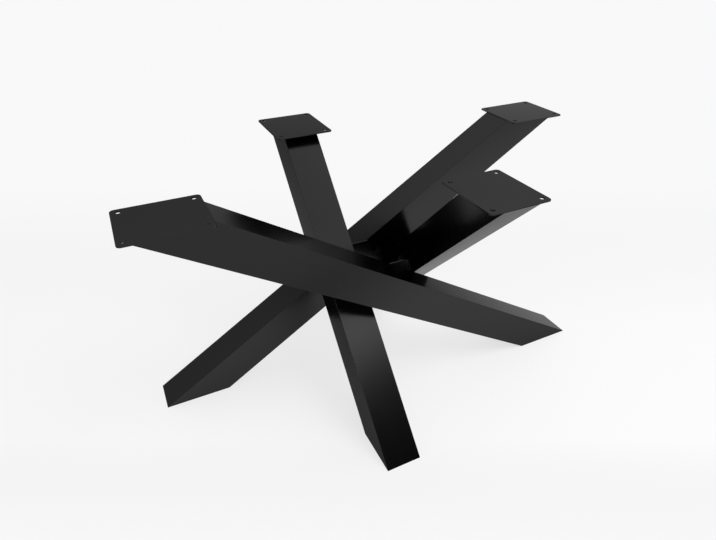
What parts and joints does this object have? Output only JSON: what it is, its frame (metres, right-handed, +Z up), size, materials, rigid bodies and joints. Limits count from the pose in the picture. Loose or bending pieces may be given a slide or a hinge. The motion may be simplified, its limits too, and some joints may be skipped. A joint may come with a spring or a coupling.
{
  "type": "coffee table leg frame",
  "caption": "Black steel table base of crossed square tubes that lean round an open square hub, with drilled plates for a table top.",
  "frame": {"origin": "on the floor, under the middle of the hub", "axes": "+X along the length, +Y along the width away from the front leg, +Z up"},
  "size_m": [0.8, 0.49, 0.43],
  "materials": {
    "black_powder_coat": "satin black powder coat with a fine texture",
    "blackened_steel": "blackened steel fasteners"
  },
  "bodies": {
    "root": {"front_leg": "black_powder_coat", "front_leg_top_plate": "black_powder_coat", "front_leg_foot_plate": "black_powder_coat", "left_leg": "black_powder_coat", "left_leg_top_plate": "black_powder_coat", "left_leg_foot_plate": "black_powder_coat", "rear_leg": "black_powder_coat", "rear_leg_top_plate": "black_powder_coat", "rear_leg_foot_plate": "black_powder_coat", "right_leg": "black_powder_coat", "right_leg_top_plate": "black_powder_coat", "right_leg_foot_plate": "black_powder_coat", "centre_hub": "black_powder_coat", "hub_bolts": "blackened_steel", "hub_washers": "blackened_steel"}
  },
  "joints": []
}
